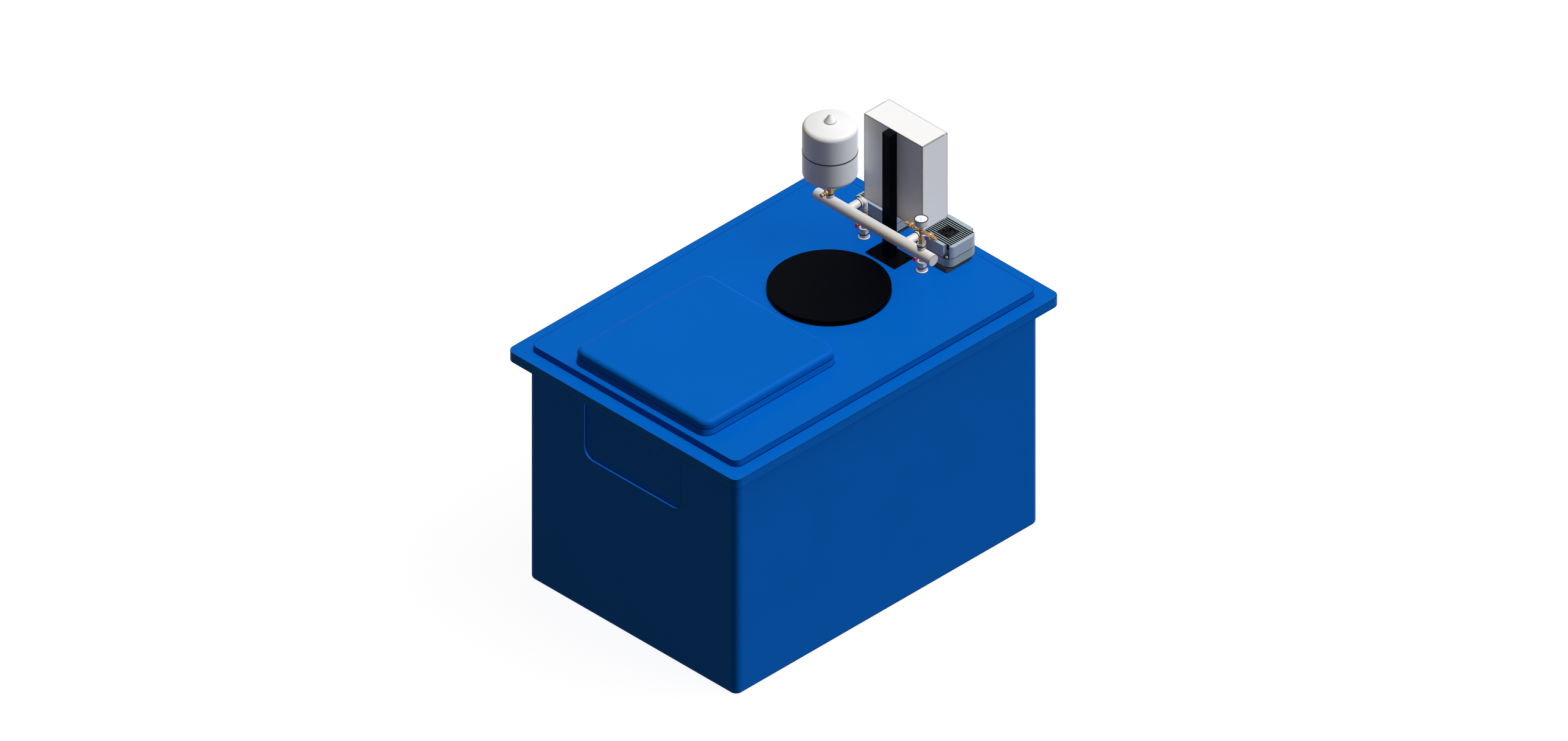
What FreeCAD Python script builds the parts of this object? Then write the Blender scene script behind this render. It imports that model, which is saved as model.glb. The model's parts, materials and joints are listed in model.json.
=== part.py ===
import FreeCAD, Part
import math
import os

# Break tank booster set: a moulded water tank with an overhanging lid, and on the lid
# a discharge manifold with its pressure vessel and gauge, two valved risers, a control
# panel on a post and two pump drives with finned heat sinks.
# Millimetres. The origin is the middle of the tank's footprint, on the floor, +Z is up.
# X runs along the tank, with the hatch at -X and the booster set at +X.

V = FreeCAD.Vector
UP = V(0, 0, 1)
NORTH = V(1, 0, 0)
SOUTH = V(-1, 0, 0)
EPS = 1.0

# Tank body
tank_length = 2070.0
tank_width = 1420.0
tank_corner = 40.0
tank_foot_radius = 20.0
wall = 8.0
rim_width = 60.0
recess_width = 662.0
recess_floor = 905.0
recess_depth = 14.0
recess_corner = 60.0

# Lid
lid_overhang = 75.0
lid_skirt_bottom = 1293.0
lid_skirt_height = 54.0
lid_corner = 45.0
plateau_inset = 80.0
plateau_height = 35.0

# Hatch
hatch_width = 910.0
hatch_end_gap = 46.5
hatch_access_gap = 86.0
hatch_corner = 60.0
plinth_height = 36.0
plinth_flare = 5.0
plinth_wall = 25.0
cover_height = 45.0
cover_edge_radius = 25.0
lip_drop = 15.0
lip_thickness = 5.0
lip_clearance = 3.0

# Round access cover over the pumps
access_setback = 725.0
access_diameter = 605.0
access_height = 30.0
access_wall = 6.0
upstand_gap = 16.0
upstand_wall = 14.0
upstand_height = 18.0

# Post and control panel
post_setback = 311.0
post_size = 52.0
post_wall = 3.0
post_corner = 3.0
plate_length = 130.0
plate_width = 200.0
plate_thickness = 5.0
plate_shift = -2.0
panel_rise = 228.0
panel_height = 500.0
panel_width = 400.0
panel_depth = 170.0
panel_sheet = 2.0
door_depth = 18.0
lock_diameter = 24.0
lock_height = 6.0

# Discharge manifold
manifold_setback = 410.0
manifold_rise = 218.0
manifold_length = 800.0
manifold_diameter = 60.3
manifold_wall = 2.9
branch_diameter = 42.4
branch_wall = 2.6
socket_diameter = 38.0
vessel_socket_rise = 12.0
gauge_socket_rise = 16.0

# Risers, from the lid up to the manifold
riser_offset = 122.0
riser_y = 198.0
flange_diameter = 60.0
flange_height = 7.0
spigot_diameter = 33.7
spigot_depth = 60.0
spigot_clearance = 1.0
union_diameter = 47.0
union_hex = 41.0
union_rise = 55.0
union_seat = 6.0
riser_valve_rise = 89.0
riser_valve_neck = 28.0
riser_ball = 38.0
check_rise = 114.0
check_length = 47.0
check_band = 8.0
check_hex = 36.0
elbow_diameter = 38.0
elbow_radius = 25.0
elbow_collar = 50.0
elbow_collar_length = 10.0
elbow_foot_collar = 41.0
elbow_reach = 38.5
branch_entry = 6.0

# Quarter-turn handles
handle_depth = 17.0
handle_width = 13.0
handle_height = 23.0
vessel_handle_height = 16.0
handle_round = 4.0
stem_diameter = 9.0
stem_bore_gap = 0.05
stem_depth = 6.0
gland_diameter = 15.0
gland_length = 4.0
riser_handle_reach = 54.0
small_handle_depth = 10.0
small_handle_width = 9.0

# Pressure vessel
vessel_inset = 92.0
vessel_diameter = 270.0
vessel_sheet = 2.5
vessel_rise = 140.0
vessel_height = 332.0
vessel_seam_rise = 162.0
crown_radius = 500.0
knuckle_radius = 25.0
band_height = 5.0
band_thickness = 1.5
boss_diameter = 30.0
boss_length = 8.0
cap_diameter = 60.0
cap_top_diameter = 17.5
cap_height = 38.0
cap_wall = 2.0
vessel_valve_diameter = 38.0
vessel_valve_foot = 7.0
cock_rise = 60.0
cock_reach = 62.0
cock_neck = 16.0
cock_seat = 6.0
vessel_handle_rise = 50.0
vessel_handle_reach = 58.0

# Pressure gauge and transducers
gauge_inset = 85.0
gauge_socket_hex = 37.0
gauge_socket_height = 15.0
gauge_valve_hex = 28.0
gauge_valve_height = 39.0
gauge_neck_height = 7.0
gauge_valve_rise = 77.0
gauge_handle_reach = 31.0
cross_rise = 133.0
cross_diameter = 20.0
cross_arm = 24.0
gauge_rise = 172.0
gauge_diameter = 69.0
gauge_height = 34.0
gauge_rim = 3.0
dial_sink = 1.5
transducer_length = 80.0

# Pump drives
drive_setback = 114.5
drive_pitch = 401.0
drive_shift = 7.0
drive_length = 209.0
drive_width = 243.0
drive_corner = 42.0
drive_corners = (50.0, 6.0, 42.0, 60.0)
foot_height = 20.0
foot_forward = 11.5
foot_length = 199.0
foot_width = 219.0
foot_corner = 8.0
foot_corners = (45.0, 8.0, 8.0, 45.0)
foot_taper = 5.0
seal_height = 7.5
seal_inset = 4.0
lower_height = 49.0
upper_height = 69.0
upper_lean = 1.5
upper_edge_radius = 8.0
notch_radius = 16.0
end_notch_radius = 9.0
end_notch_inset = 20.0
end_notch_setback = 62.0
fin_forward = 2.0
fin_count = 12
fin_thickness = 5.0
fin_gap = 8.0
fin_depth = 32.0
fin_end_bar = 16.0
fan_size = 80.0
fan_offset = -13.5
fan_clearance = 0.5
fan_sink = 2.0
fan_corner = 4.0
fan_bore = 76.0
fan_floor = 3.0
fan_strut = 5.0
stator_diameter = 30.0
hub_diameter = 30.0
rotor_gap = 0.3
rotor_height = 20.0
blade_count = 7
blade_tip_gap = 3.0
blade_chord = 17.0
blade_thickness = 1.6
blade_root_angle = 42.0
blade_tip_angle = 28.0
pin_diameter = 4.0
pin_height = 12.0
pin_clearance = 0.05

# Places and levels that follow from the sizes above
lid_flange_top = lid_skirt_bottom + lid_skirt_height
rim_top = lid_flange_top - wall
deck = lid_flange_top + plateau_height
lid_length = tank_length + 2 * lid_overhang
lid_width = tank_width + 2 * lid_overhang
plateau_length = lid_length - 2 * plateau_inset
plateau_width = lid_width - 2 * plateau_inset
access_x = tank_length / 2 - access_setback
hatch_start = -tank_length / 2 + hatch_end_gap
hatch_length = access_x - access_diameter / 2 - hatch_access_gap - hatch_start
hatch_x = hatch_start + hatch_length / 2
manifold_x = tank_length / 2 - manifold_setback
riser_x = manifold_x + riser_offset
post_x = tank_length / 2 - post_setback
drive_x = tank_length / 2 - drive_setback
fan_x = drive_x - fin_forward
opening_length = hatch_length - 2 * plinth_wall
opening_width = hatch_width - 2 * plinth_wall
vessel_y = manifold_length / 2 - vessel_inset
gauge_y = gauge_inset - manifold_length / 2
stem_bore = stem_diameter + 2 * stem_bore_gap
plinth_top = deck + plinth_height
upstand_diameter = access_diameter - 2 * (access_wall + upstand_gap)
access_opening = upstand_diameter - 2 * upstand_wall
panel_back = post_x + post_size / 2
panel_bottom = deck + panel_rise
panel_top = panel_bottom + panel_height
manifold_z = deck + manifold_rise
manifold_top = manifold_z + manifold_diameter / 2
vessel_socket_top = manifold_top + vessel_socket_rise
gauge_socket_bottom = manifold_top + gauge_socket_rise
union_top = deck + union_rise
riser_valve_z = deck + riser_valve_rise
check_bottom = deck + check_rise
check_top = check_bottom + check_length
vessel_bottom = manifold_z + vessel_rise
vessel_seam = vessel_bottom + vessel_seam_rise
cock_z = manifold_z + cock_rise
vessel_handle_z = manifold_z + vessel_handle_rise
gauge_socket_top = gauge_socket_bottom + gauge_socket_height
gauge_valve_top = gauge_socket_top + gauge_valve_height
gauge_valve_z = manifold_z + gauge_valve_rise
cross_z = manifold_z + cross_rise
gauge_bottom = manifold_z + gauge_rise
seal_bottom = deck + foot_height
lower_bottom = seal_bottom + seal_height
split_level = lower_bottom + lower_height
drive_top = split_level + upper_height
fan_bottom = drive_top - fin_depth
fan_height = fin_depth - fan_sink


def outline(cx, cy, length, width, radius, z, corners=()):
    """Closed wire of a level rectangle with round corners, alike or one by one.

    The corners are listed from +X +Y by way of -X to +X -Y.
    """
    arcs = []
    for index, (sx, sy) in enumerate(((1, 1), (-1, 1), (-1, -1), (1, -1))):
        start = 90 * index
        bend = corners[index] if corners else radius
        ox = cx + sx * (length / 2 - bend)
        oy = cy + sy * (width / 2 - bend)
        points = []
        for step in (0, 45, 90):
            turn = math.radians(start + step)
            points.append(V(ox + bend * math.cos(turn), oy + bend * math.sin(turn), z))
        arcs.append(points)
    edges = []
    for index, points in enumerate(arcs):
        following = arcs[(index + 1) % 4]
        edges.append(Part.Arc(*points).toShape())
        edges.append(Part.LineSegment(points[2], following[0]).toShape())
    return Part.Wire(edges)


def slab(cx, cy, length, width, radius, z0, z1, corners=()):
    """Upright block with round vertical corners."""
    wire = outline(cx, cy, length, width, radius, z0, corners)
    return Part.Face(wire).extrude(V(0, 0, z1 - z0))


def box(x0, x1, y0, y1, z0, z1):
    return Part.makeBox(x1 - x0, y1 - y0, z1 - z0, V(x0, y0, z0))


def placed(shape, base, axis):
    """Moves a shape made on the Z axis to another base and axis."""
    shape.Placement = FreeCAD.Placement(base, FreeCAD.Rotation(UP, axis))
    return shape


def turned(profile, base, axis=UP):
    """Solid of revolution through (radius, height) points, closed along its axis."""
    points = [V(0, 0, profile[0][1])]
    points += [V(radius, 0, height) for radius, height in profile]
    points += [V(0, 0, profile[-1][1]), points[0]]
    face = Part.Face(Part.makePolygon(points))
    return placed(face.revolve(V(0, 0, 0), UP, 360), base, axis)


def rod(diameter, start, end, base, axis=UP):
    """Cylinder between two heights above its base."""
    return turned([(diameter / 2, start), (diameter / 2, end)], base, axis)


def hexagon(across_flats, start, end, base, axis=UP):
    """Hexagonal prism between two heights above its base."""
    reach = across_flats / math.sqrt(3)
    points = []
    for side in range(7):
        turn = math.radians(60 * side)
        points.append(V(reach * math.cos(turn), reach * math.sin(turn), start))
    prism = Part.Face(Part.makePolygon(points)).extrude(V(0, 0, end - start))
    return placed(prism, base, axis)


def joined(first, *others):
    return first.fuse(list(others)).removeSplitter()


def without(shape, *cutters):
    return shape.cut(list(cutters)).removeSplitter()


def edges_at(shape, z):
    """Edges of a shape that lie wholly at one level."""
    found = []
    for edge in shape.Edges:
        bounds = edge.BoundBox
        if abs(bounds.ZMin - z) < 0.01 and abs(bounds.ZMax - z) < 0.01:
            found.append(edge)
    return found


def recess_block(grow, x1):
    """The recess in the hatch end wall, or with grow its outline on the inner face."""
    radius = recess_corner + grow
    half = recess_width / 2 + grow
    low = recess_floor - grow
    block = box(-tank_length / 2 - EPS, x1, -half, half, low, rim_top - wall)
    corners = []
    for edge in block.Edges:
        bounds = edge.BoundBox
        if bounds.XLength > EPS and bounds.ZMax < low + EPS and bounds.YLength < EPS:
            corners.append(edge)
    return block.makeFillet(radius, corners)


def tank_body():
    """Open-topped moulding with a rim for the lid and a recess in the hatch end."""
    outer = slab(0, 0, tank_length, tank_width, tank_corner, 0, rim_top)
    outer = outer.makeFillet(tank_foot_radius, edges_at(outer, 0))
    rim = slab(0, 0, tank_length + 2 * rim_width, tank_width + 2 * rim_width,
               tank_corner, rim_top - wall, rim_top)
    pocket = recess_block(0, -tank_length / 2 + recess_depth)
    boss = recess_block(wall, -tank_length / 2 + recess_depth + wall)
    inside = slab(0, 0, tank_length - 2 * wall, tank_width - 2 * wall,
                  tank_corner - wall, wall, rim_top + EPS)
    inside = inside.makeFillet(tank_foot_radius - wall, edges_at(inside, wall))
    return without(joined(outer, rim), pocket, without(inside, boss))


def tank_lid():
    """Moulded lid with a turned-down skirt, a raised deck and its openings."""
    outer = joined(
        slab(0, 0, lid_length, lid_width, lid_corner, lid_skirt_bottom, lid_flange_top),
        slab(0, 0, plateau_length, plateau_width, lid_corner, lid_flange_top, deck),
        rod(upstand_diameter, 0, upstand_height, V(access_x, 0, deck)))
    skirt_room = slab(0, 0, lid_length - 2 * wall, lid_width - 2 * wall,
                      lid_corner - wall, lid_skirt_bottom - EPS, rim_top)
    deck_room = slab(0, 0, plateau_length - 2 * wall, plateau_width - 2 * wall,
                     lid_corner - wall, rim_top - EPS, deck - wall)
    hatch_hole = slab(hatch_x, 0, opening_length, opening_width, hatch_corner - plinth_wall,
                      rim_top, deck + EPS)
    access_hole = rod(access_opening, -2 * wall, upstand_height + EPS, V(access_x, 0, deck))
    cutters = [skirt_room, deck_room, hatch_hole, access_hole]
    for side in (-1, 1):
        bore = spigot_diameter + 2 * spigot_clearance
        cutters.append(rod(bore, -2 * wall, wall, V(riser_x, side * riser_y, deck)))
    return without(outer, *cutters)


def hatch_plinth():
    """Upstand frame round the hatch, a little wider at its foot."""
    flare = 2 * plinth_flare
    wires = [outline(hatch_x, 0, hatch_length + flare, hatch_width + flare,
                     hatch_corner + plinth_flare, deck),
             outline(hatch_x, 0, hatch_length, hatch_width, hatch_corner, plinth_top)]
    frame = Part.makeLoft(wires, True, True)
    room = slab(hatch_x, 0, opening_length, opening_width, hatch_corner - plinth_wall,
                deck - EPS, plinth_top + EPS)
    return without(frame, room)


def hatch_cover():
    """Pan-shaped cover with a rounded top edge and a lip that locates it in the plinth."""
    top = plinth_top + cover_height
    pan = slab(hatch_x, 0, hatch_length, hatch_width, hatch_corner, plinth_top, top)
    pan = pan.makeFillet(cover_edge_radius, edges_at(pan, top))
    room = slab(hatch_x, 0, hatch_length - 2 * wall, hatch_width - 2 * wall,
                hatch_corner - wall, plinth_top - EPS, top - wall)
    room = room.makeFillet(cover_edge_radius - wall, edges_at(room, top - wall))
    lip_length = opening_length - 2 * lip_clearance
    lip_width = opening_width - 2 * lip_clearance
    lip_corner = hatch_corner - plinth_wall - lip_clearance
    lip = slab(hatch_x, 0, lip_length, lip_width, lip_corner, plinth_top - lip_drop,
               top - wall)
    lip_room = slab(hatch_x, 0, lip_length - 2 * lip_thickness,
                    lip_width - 2 * lip_thickness, lip_corner - lip_thickness,
                    plinth_top - lip_drop - EPS, top - wall)
    return joined(without(pan, room), without(lip, lip_room))


def round_cover():
    """Flat round cap that stands over the upstand of the pump opening."""
    outer = access_diameter / 2
    chamfer = 2.0
    base = V(access_x, 0, deck)
    cap = turned([(outer, 0), (outer, access_height - chamfer),
                  (outer - chamfer, access_height)], base)
    room = rod(access_diameter - 2 * access_wall, -EPS, access_height - access_wall, base)
    return without(cap, room)


def post_base_plate():
    return slab(post_x + plate_shift, 0, plate_length, plate_width, post_corner,
                deck, deck + plate_thickness)


def panel_post():
    """Square tube with a closed top, which carries the panel on its +X face."""
    low = deck + plate_thickness
    outer = slab(post_x, 0, post_size, post_size, post_corner, low, panel_top)
    inner = post_size - 2 * post_wall
    room = box(post_x - inner / 2, post_x + inner / 2, -inner / 2, inner / 2,
               low - EPS, panel_top - post_wall)
    return without(outer, room)


def panel_enclosure():
    """Sheet-metal box, open towards its door."""
    front = panel_back + panel_depth - door_depth
    half = panel_width / 2
    shell = box(panel_back, front, -half, half, panel_bottom, panel_top)
    room = box(panel_back + panel_sheet, front + EPS, -half + panel_sheet, half - panel_sheet,
               panel_bottom + panel_sheet, panel_top - panel_sheet)
    return without(shell, room)


def panel_door():
    """Door with folded edges and two quarter-turn locks, flush with the box."""
    back = panel_back + panel_depth - door_depth
    front = panel_back + panel_depth
    half = panel_width / 2
    leaf = box(back, front, -half, half, panel_bottom, panel_top)
    room = box(back - EPS, front - panel_sheet, -half + panel_sheet, half - panel_sheet,
               panel_bottom + panel_sheet, panel_top - panel_sheet)
    locks = []
    for share in (0.2, 0.8):
        spot = V(front, half - lock_diameter, panel_bottom + share * panel_height)
        locks.append(rod(lock_diameter, -panel_sheet, lock_height, spot, NORTH))
    return joined(without(leaf, room), *locks)


def manifold():
    """Closed header tube with two side branches and two sockets on top."""
    end = V(manifold_x, -manifold_length / 2, manifold_z)
    along = V(0, 1, 0)
    outer = [rod(manifold_diameter, 0, manifold_length, end, along)]
    bores = [rod(manifold_diameter - 2 * manifold_wall, manifold_wall,
                 manifold_length - manifold_wall, end, along)]
    branch_length = riser_offset - elbow_reach + branch_entry
    for side in (-1, 1):
        start = V(manifold_x, side * riser_y, manifold_z)
        outer.append(rod(branch_diameter, 0, branch_length, start, NORTH))
        bores.append(rod(branch_diameter - 2 * branch_wall, 0, branch_length + EPS, start, NORTH))
    for y, top in ((vessel_y, vessel_socket_top), (gauge_y, gauge_socket_bottom)):
        start = V(manifold_x, y, manifold_z)
        outer.append(rod(socket_diameter, 0, top - manifold_z, start))
    return without(joined(*outer), *bores)


def riser_flanges():
    """Low dished collars that close the gaps round the risers where they leave the lid."""
    half = flange_diameter / 2
    collars = []
    for side in (-1, 1):
        base = V(riser_x, side * riser_y, deck)
        collar = turned([(half, 0), (half, 2.5), (union_diameter / 2 + 1, flange_height)], base)
        hole = rod(spigot_diameter, -EPS, flange_height + EPS, base)
        collars.append(without(collar, hole))
    return Part.makeCompound(collars)


def riser_union(y):
    """Hexagonal union with its threaded spigot, which passes down through the lid."""
    low = deck + flange_height
    height = union_top - low
    half = union_diameter / 2
    base = V(riser_x, y, low)
    groove = 0.28 * height
    body = turned([(half, 0), (half, groove), (half - 4, groove), (half - 4, groove + 4),
                   (half, groove + 4), (half, height)], base)
    nut_room = turned([(half + EPS, groove + 6), (half + EPS, groove + 24)], base)
    nut = hexagon(union_hex, groove + 6, groove + 24, base)
    spigot = rod(spigot_diameter, -spigot_depth, EPS, base)
    seat = rod(riser_valve_neck, height - union_seat, height + EPS, base)
    return without(joined(without(body, nut_room), nut, spigot), seat)


def ball_valve(y):
    """Brass ball valve body between the union and the check valve."""
    neck = riser_valve_neck / 2
    ball = riser_ball / 2
    base = V(riser_x, y, riser_valve_z)
    low = union_top - union_seat - riser_valve_z
    high = check_bottom - riser_valve_z
    slope = ball - neck
    body = turned([(neck, low), (neck, -ball + 2), (ball - 1, -slope / 2), (ball - 1, slope / 2),
                   (neck, ball - 2), (neck, high)], base)
    gland = rod(gland_diameter, 0, ball + gland_length, base, SOUTH)
    bore = rod(stem_bore, ball - stem_depth, ball + gland_length + EPS, base, SOUTH)
    return without(joined(body, gland), bore)


def check_valve(y):
    """Hexagonal brass body with a round band at each end."""
    base = V(riser_x, y, check_bottom)
    high = check_length - check_band
    return joined(rod(check_hex, 0, check_band, base),
                  hexagon(check_hex, check_band, high, base),
                  rod(check_hex - 4, high, check_length, base))


def elbow(y):
    """Short-radius elbow with a rolled collar at each end."""
    half = elbow_diameter / 2
    corner = V(riser_x - elbow_radius, y, manifold_z)
    centre = V(riser_x - elbow_radius, y, manifold_z - elbow_radius)
    disc = Part.Face(Part.Wire(Part.makeCircle(half, corner, NORTH)))
    bend = disc.revolve(centre, V(0, 1, 0), 90)
    leg_end = elbow_reach - elbow_radius
    leg = rod(elbow_diameter, 0, leg_end, corner, SOUTH)
    foot = V(riser_x, y, manifold_z - elbow_radius)
    drop = foot.z - check_top
    down = rod(elbow_diameter, 0, drop, foot, V(0, 0, -1))
    collars = [rod(elbow_collar, leg_end - elbow_collar_length, leg_end, corner, SOUTH),
               rod(elbow_foot_collar, drop - elbow_collar_length, drop, foot, V(0, 0, -1))]
    socket = rod(branch_diameter, leg_end - branch_entry, leg_end + EPS, corner, SOUTH)
    return without(joined(bend, leg, down, *collars), socket)


def handle(base, axis, reach, depth, width, body, height=handle_height):
    """Bar handle on its spindle, upright when the valve is open."""
    grip = slab(0, 0, height, width, min(handle_round, 0.45 * width),
                reach - depth, reach)
    root = body - stem_depth + stem_bore_gap
    spindle = rod(stem_diameter, root, reach - depth + EPS, V(0, 0, 0))
    return placed(joined(grip, spindle), base, axis)


def riser_handle(y):
    return handle(V(riser_x, y, riser_valve_z), SOUTH, riser_handle_reach, handle_depth,
                  handle_width, riser_ball / 2)


def torispherical(radius, low, shrink):
    """Lower half outline of a dished end, from the axis out to the straight side."""
    knuckle = knuckle_radius - shrink
    crown = crown_radius - shrink
    across = radius - knuckle
    centre_z = low + crown
    rise = math.sqrt((crown - knuckle) ** 2 - across ** 2)
    knuckle_z = centre_z - rise
    tilt = math.atan2(across, rise)
    join = V(crown * math.sin(tilt), 0, centre_z - crown * math.cos(tilt))
    middle = V(crown * math.sin(tilt / 2), 0, centre_z - crown * math.cos(tilt / 2))
    half = (tilt + math.pi / 2) / 2
    bulge = V(across + knuckle * math.sin(half), 0, knuckle_z - knuckle * math.cos(half))
    start = V(0, 0, low)
    side = V(radius, 0, knuckle_z)
    return [Part.Arc(start, middle, join).toShape(), Part.Arc(join, bulge, side).toShape()]


def dished(radius, low, high, shrink):
    """Solid with one dished end at its bottom and a flat top at the seam."""
    edges = torispherical(radius, low, shrink)
    side = V(radius, 0, edges[-1].valueAt(edges[-1].LastParameter).z)
    corners = [side, V(radius, 0, high), V(0, 0, high), V(0, 0, low)]
    for start, end in zip(corners, corners[1:]):
        edges.append(Part.LineSegment(start, end).toShape())
    return Part.Face(Part.Wire(edges)).revolve(V(0, 0, 0), UP, 360)


def vessel_half(depth):
    """Half shell of the pressure vessel, dished end down, standing on its apex."""
    radius = vessel_diameter / 2
    shell = dished(radius, 0, depth, 0)
    room = dished(radius - vessel_sheet, vessel_sheet, depth + EPS, vessel_sheet)
    return without(shell, room)


def vessel_lower_shell():
    half = vessel_half(vessel_seam - vessel_bottom)
    boss = rod(boss_diameter, -boss_length, vessel_sheet, V(0, 0, 0))
    shell = joined(half, boss)
    return placed(shell, V(manifold_x, vessel_y, vessel_bottom), UP)


def vessel_upper_shell():
    top = vessel_bottom + vessel_height
    shell = vessel_half(top - vessel_seam)
    shell.Placement = FreeCAD.Placement(V(manifold_x, vessel_y, top),
                                        FreeCAD.Rotation(V(1, 0, 0), 180))
    return shell


def vessel_band():
    base = V(manifold_x, vessel_y, vessel_seam - band_height / 2)
    ring = rod(vessel_diameter + 2 * band_thickness, 0, band_height, base)
    return without(ring, rod(vessel_diameter, -EPS, band_height + EPS, base))


def vessel_cap():
    """Hollow cone over the filling valve, standing on the crown of the upper shell."""
    foot = cap_diameter / 2
    tip = cap_top_diameter / 2
    inner = foot - cap_wall
    sag = crown_radius - math.sqrt(crown_radius ** 2 - inner ** 2)
    base = V(manifold_x, vessel_y, vessel_bottom + vessel_height - sag)
    cone = turned([(foot, 0), (foot, 1.5), (tip, cap_height - 3), (tip - 2, cap_height)], base)
    room = turned([(inner, -EPS), (inner, 1.5), (tip - cap_wall, cap_height - 3 - cap_wall)],
                  base)
    return without(cone, room)


def vessel_valve():
    """Brass valve body that carries the vessel on the manifold."""
    base = V(manifold_x, vessel_y, vessel_socket_top)
    half = vessel_valve_diameter / 2
    low = vessel_valve_foot
    top = vessel_bottom - boss_length - vessel_socket_top
    body = turned([(half - 3, 0), (half - 3, low), (half, low),
                   (half, top - 12), (half - 4, top - 6), (half - 4, top)], base)
    axis_base = V(manifold_x, vessel_y, vessel_handle_z)
    gland = rod(gland_diameter, 0, half + gland_length, axis_base, NORTH)
    bore = rod(stem_bore, half - stem_depth, half + gland_length + EPS, axis_base, NORTH)
    seat = rod(cock_neck, half - cock_seat, half + EPS, V(manifold_x, vessel_y, cock_z), SOUTH)
    return without(joined(body, gland), bore, seat)


def drain_cock():
    """Brass drain outlet with its collars, pointing towards the hatch end."""
    root = vessel_valve_diameter / 2 - cock_seat
    neck = cock_neck / 2
    return turned([(neck, root), (neck, 22), (12, 22), (12, 32), (9, 34), (9, 40), (11, 40),
                   (11, 44), (neck, 46), (neck, 50), (10.5, 50), (10.5, cock_reach)],
                  V(manifold_x, vessel_y, cock_z), SOUTH)


def vessel_handle():
    return handle(V(manifold_x, vessel_y, vessel_handle_z), NORTH, vessel_handle_reach,
                  small_handle_depth, small_handle_width, vessel_valve_diameter / 2,
                  vessel_handle_height)


def gauge_socket():
    """Steel reducing socket with a hexagon, on the manifold."""
    base = V(manifold_x, gauge_y, gauge_socket_bottom)
    band = rod(gauge_socket_hex - 2, 0, 3, base)
    return joined(band, hexagon(gauge_socket_hex, 3, gauge_socket_height, base))


def gauge_valve():
    """Small brass ball valve with a long hexagon."""
    base = V(manifold_x, gauge_y, gauge_socket_top)
    half = gauge_valve_hex / 2
    shoulder = gauge_valve_height - gauge_neck_height
    body = hexagon(gauge_valve_hex, 0, shoulder, base)
    neck = rod(gauge_valve_hex - 8, shoulder, gauge_valve_height, base)
    axis_base = V(manifold_x, gauge_y, gauge_valve_z)
    gland = rod(gland_diameter, 0, half + gland_length, axis_base, NORTH)
    bore = rod(stem_bore, half - stem_depth, half + gland_length + EPS, axis_base, NORTH)
    return without(joined(body, neck, gland), bore)


def gauge_handle():
    return handle(V(manifold_x, gauge_y, gauge_valve_z), NORTH, gauge_handle_reach,
                  small_handle_depth, small_handle_width, gauge_valve_hex / 2)


def gauge_cross():
    """Brass four-way fitting with a beaded end on each arm."""
    base = V(manifold_x, gauge_y, cross_z)
    half = cross_diameter / 2
    low = gauge_valve_top - cross_z
    high = gauge_bottom - 4 - cross_z
    stem = turned([(half - 2, low), (half - 2, -14), (half + 1, -14), (half + 1, -8), (half, -8),
                   (half, 12), (half + 1, 12), (half + 1, 18), (half - 4, 18),
                   (half - 4, high)], base)
    arms = []
    for side in (-1, 1):
        arms.append(turned([(half - 1, 0), (half - 1, cross_arm - 6), (half + 1, cross_arm - 6),
                            (half + 1, cross_arm)], base, V(0, side, 0)))
    return joined(stem, *arms)


def transducers():
    """Two pressure transducers, one on each side arm of the cross."""
    bodies = []
    for side in (-1, 1):
        axis = V(0, side, 0)
        base = V(manifold_x, gauge_y + side * cross_arm, cross_z)
        turned_part = turned([(6.5, 0), (6.5, 20), (9, 20), (9, 30), (16.5, 30), (18, 32),
                              (18, 44), (16.5, 46), (7.5, 48), (7.5, 56), (10, 56), (10, 64),
                              (8, 64), (8, transducer_length)], base, axis)
        bodies.append(joined(turned_part, hexagon(24.0, 20, 30, base, axis)))
    return Part.makeCompound(bodies)


def gauge_case():
    """Round case with a rolled rim, open at the top for its dial."""
    base = V(manifold_x, gauge_y, gauge_bottom)
    half = gauge_diameter / 2
    case = turned([(10, -4), (10, 0), (half - 7, 0), (half - 2, 2), (half, 6),
                   (half, gauge_height - 1), (half - 1, gauge_height)], base)
    well = rod(gauge_diameter - 2 * gauge_rim, gauge_height - 6, gauge_height + EPS, base)
    return without(case, well)


def gauge_dial():
    base = V(manifold_x, gauge_y, gauge_bottom)
    return rod(gauge_diameter - 2 * gauge_rim, gauge_height - 6, gauge_height - dial_sink, base)


def drive_foot(y):
    """Tapered mounting base of a drive with a seal line that is set in above it."""
    middle = drive_x - foot_forward
    low = outline(middle, y, foot_length, foot_width, foot_corner, deck, foot_corners)
    high = outline(middle, y, foot_length - 2 * foot_taper, foot_width - 2 * foot_taper,
                   foot_corner, seal_bottom, foot_corners)
    foot = Part.makeLoft([low, high], True, True)
    seal = slab(drive_x, y, drive_length - 2 * seal_inset, drive_width - 2 * seal_inset,
                drive_corner, seal_bottom, lower_bottom,
                [corner - seal_inset for corner in drive_corners])
    return joined(foot, seal)


def drive_housing(y):
    return slab(drive_x, y, drive_length, drive_width, drive_corner, lower_bottom, split_level,
                drive_corners)


def leaning_block(y):
    """Block whose long sides lean in a little and end in a rounded top edge."""
    low = drive_width / 2
    high = low - upper_lean
    x0 = drive_x - drive_length / 2 - EPS
    points = [V(x0, y - low, split_level), V(x0, y + low, split_level),
              V(x0, y + high, drive_top), V(x0, y - high, drive_top)]
    face = Part.Face(Part.makePolygon(points + [points[0]]))
    block = face.extrude(V(drive_length + 2 * EPS, 0, 0))
    tops = [edge for edge in edges_at(block, drive_top) if edge.BoundBox.XLength > EPS]
    return block.makeFillet(upper_edge_radius, tops)


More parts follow.
